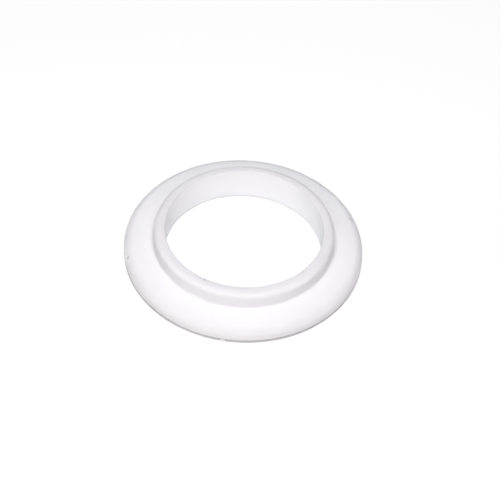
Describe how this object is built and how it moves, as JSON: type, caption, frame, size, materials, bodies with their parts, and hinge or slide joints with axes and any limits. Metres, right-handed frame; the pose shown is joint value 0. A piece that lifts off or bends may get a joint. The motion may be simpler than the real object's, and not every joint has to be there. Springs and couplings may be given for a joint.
{
  "type": "collared swivel nut gasket",
  "caption": "Round moulded plastic gasket with a flat underside and a low rounded collar round its bore, sealing a joint inside a swivel nut.",
  "frame": {"origin": "centre of the bore at the flat underside", "axes": "+Z along the bore's axis, from the underside up through the collar"},
  "size_m": [0.024, 0.024, 0.0036],
  "materials": {
    "moulded_plastic": "satin, white, slightly translucent"
  },
  "bodies": {
    "root": {"gasket": "moulded_plastic"}
  },
  "joints": []
}
